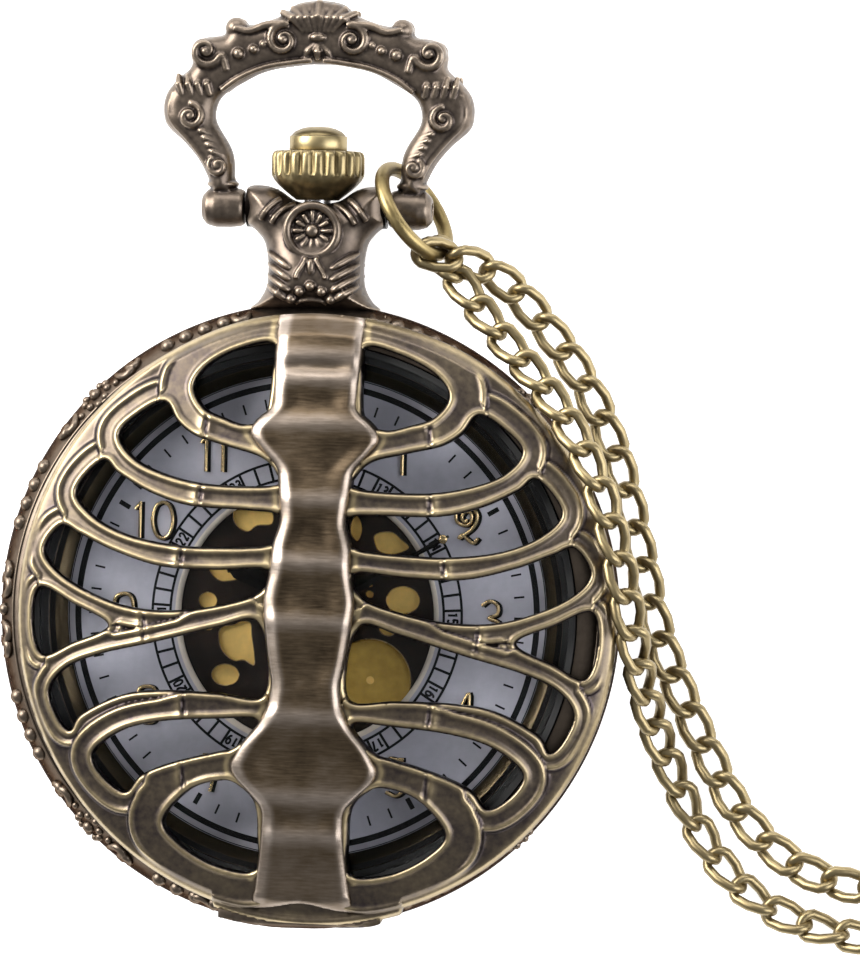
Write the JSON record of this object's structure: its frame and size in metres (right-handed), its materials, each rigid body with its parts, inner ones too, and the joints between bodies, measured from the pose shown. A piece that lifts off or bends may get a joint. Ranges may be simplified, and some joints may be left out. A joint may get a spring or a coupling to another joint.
{
  "type": "pocket watch",
  "caption": "Pocket watch on a long necklace chain; openwork rib-cage cover hinged over the dial, fluted crown with push button, ornate bow, quartz movement.",
  "frame": {"origin": "centre of the case back's flat resting face", "axes": "+Z out of the dial, +Y to 12 o'clock and the pendant, +X to 3 o'clock"},
  "size_m": [0.1138, 0.0771, 0.0134],
  "materials": {
    "cover_brass": "aged cast brass with brushed vertebrae, dark in the recesses",
    "antique_case": "antiqued purple-brown brass with worn high spots",
    "crown_brass": "olive gold, rubbed",
    "ring_brass": "bright brass wire",
    "chain_brass": "olive antique brass",
    "bezel_bronze": "satin bronze",
    "dial_grey": "matt lilac grey",
    "gilt": "polished gilt",
    "skeleton_brown": "dark brown satin",
    "hand_black": "black satin",
    "steel": "satin steel",
    "crystal_glass": "clear mineral glass",
    "seal_rubber": "black rubber",
    "holder_plastic": "moulded white nylon",
    "coil_copper": "enamelled copper wire",
    "board_green": "circuit board"
  },
  "bodies": {
    "case": {"case_band": "antique_case", "case_back": "antique_case", "back_gasket": "seal_rubber", "case_hinge_lug": "antique_case", "hinge_pin": "antique_case", "cover_lift_spring": "steel", "bezel_ring": "bezel_bronze", "crystal_gasket": "seal_rubber", "crystal": "crystal_glass", "pendant_neck": "antique_case", "pendant_arms": "antique_case", "bow_pivot_screws": "antique_case", "dial": "dial_grey", "dial_numerals": "gilt", "skeleton_plate": "skeleton_brown", "gilt_plate": "gilt", "main_plate": "steel", "train_bridge": "gilt", "bridge_screws": "steel", "movement_holder": "holder_plastic", "battery": "steel", "battery_strap": "steel", "motor_coil": "coil_copper", "motor_stator": "steel", "quartz_can": "steel", "circuit_board": "board_green", "chain_strand_inner": "chain_brass", "chain_strand_outer": "chain_brass", "chain_coil_lower": "chain_brass", "chain_coil_upper": "chain_brass", "clasp_body": "chain_brass", "clasp_rivet": "steel", "clasp_ring": "ring_brass"},
    "cover": {"front_cover": "cover_brass", "cover_hinge_knuckle": "cover_brass"},
    "bow": {"bow": "antique_case"},
    "ring": {"jump_ring": "ring_brass"},
    "stem_slide": {"setting_lever": "steel"},
    "crown": {"crown": "crown_brass", "stem": "steel", "crown_cross_pin": "steel"},
    "button": {"crown_button": "crown_brass", "button_sleeve": "crown_brass"},
    "catch": {"cover_catch": "steel"},
    "minute": {"minute_hand": "hand_black", "cannon_pinion": "gilt"},
    "hour": {"hour_hand": "hand_black", "hour_wheel": "gilt"},
    "motion": {"minute_wheel": "gilt"},
    "second": {"second_hand": "hand_black", "second_wheel": "gilt"},
    "third": {"third_wheel": "gilt"},
    "centre": {"centre_wheel": "gilt"},
    "intermediate": {"intermediate_wheel": "gilt"},
    "rotor": {"rotor": "steel"},
    "gate": {"clasp_gate": "chain_brass"}
  },
  "joints": [
    {"name": "cover_hinge", "type": "hinge", "parent": "case", "child": "cover", "pos_m": [0, -0.02245, 0.00785], "axis": [1, 0, 0], "range_deg": [0, 110]},
    {"name": "bow_swing", "type": "hinge", "parent": "case", "child": "bow", "pos_m": [0, 0.0306, 0.0044], "axis": [1, 0, 0], "range_deg": [-85, 85]},
    {"name": "ring_spin", "type": "hinge", "parent": "bow", "child": "ring", "pos_m": [0.00735, 0.0305, 0.0044], "axis": [0.7991, 0.5154, 0.3096], "continuous": true},
    {"name": "stem_pull", "type": "slide", "parent": "case", "child": "stem_slide", "axis": [0, 1, 0], "range_m": [0, 0.001]},
    {"name": "crown_turn", "type": "hinge", "parent": "stem_slide", "child": "crown", "pos_m": [0, 0, 0.0044], "axis": [0, 1, 0], "continuous": true},
    {"name": "button_press", "type": "slide", "parent": "crown", "child": "button", "axis": [0, -1, 0], "range_m": [0, 0.0005], "stiffness_N_per_m": 500, "springref_m": -0.0003},
    {"name": "catch_slide", "type": "slide", "parent": "case", "child": "catch", "axis": [0, -1, 0], "range_m": [0, 0.0005]},
    {"name": "minute_turn", "type": "hinge", "parent": "case", "child": "minute", "pos_m": [0, 0, 0.005], "axis": [0, 0, 1], "continuous": true},
    {"name": "hour_turn", "type": "hinge", "parent": "case", "child": "hour", "pos_m": [0, 0, 0.005], "axis": [0, 0, 1], "continuous": true},
    {"name": "motion_turn", "type": "hinge", "parent": "case", "child": "motion", "pos_m": [-0.00075, -0.00207, 0.005], "axis": [0, 0, 1], "continuous": true},
    {"name": "second_turn", "type": "hinge", "parent": "case", "child": "second", "pos_m": [0, 0, 0.005], "axis": [0, 0, 1], "continuous": true},
    {"name": "third_turn", "type": "hinge", "parent": "case", "child": "third", "pos_m": [0, -0.0034, 0.005], "axis": [0, 0, 1], "continuous": true},
    {"name": "centre_turn", "type": "hinge", "parent": "case", "child": "centre", "pos_m": [0, 0, 0.005], "axis": [0, 0, 1], "continuous": true},
    {"name": "intermediate_turn", "type": "hinge", "parent": "case", "child": "intermediate", "pos_m": [0.0017, 0.0017, 0.005], "axis": [0, 0, 1], "continuous": true},
    {"name": "rotor_turn", "type": "hinge", "parent": "case", "child": "rotor", "pos_m": [0.00333, 0.00075, 0.005], "axis": [0, 0, 1], "continuous": true},
    {"name": "clasp_gate_hinge", "type": "hinge", "parent": "case", "child": "gate", "pos_m": [0.06497, -0.01328, 0.00145], "axis": [0, 0, 1], "range_deg": [0, 11], "stiffness_Nm_per_rad": 0.002, "springref_deg": -11.46}
  ],
  "couplings": [
    {"joint": "hour_turn", "follows": "minute_turn", "ratio": 0.083333},
    {"joint": "motion_turn", "follows": "minute_turn", "ratio": -0.33333},
    {"joint": "third_turn", "follows": "second_turn", "ratio": -0.13333},
    {"joint": "centre_turn", "follows": "second_turn", "ratio": 0.016667},
    {"joint": "intermediate_turn", "follows": "second_turn", "ratio": -5},
    {"joint": "rotor_turn", "follows": "second_turn", "ratio": 30},
    {"joint": "catch_slide", "follows": "button_press", "ratio": 1}
  ]
}
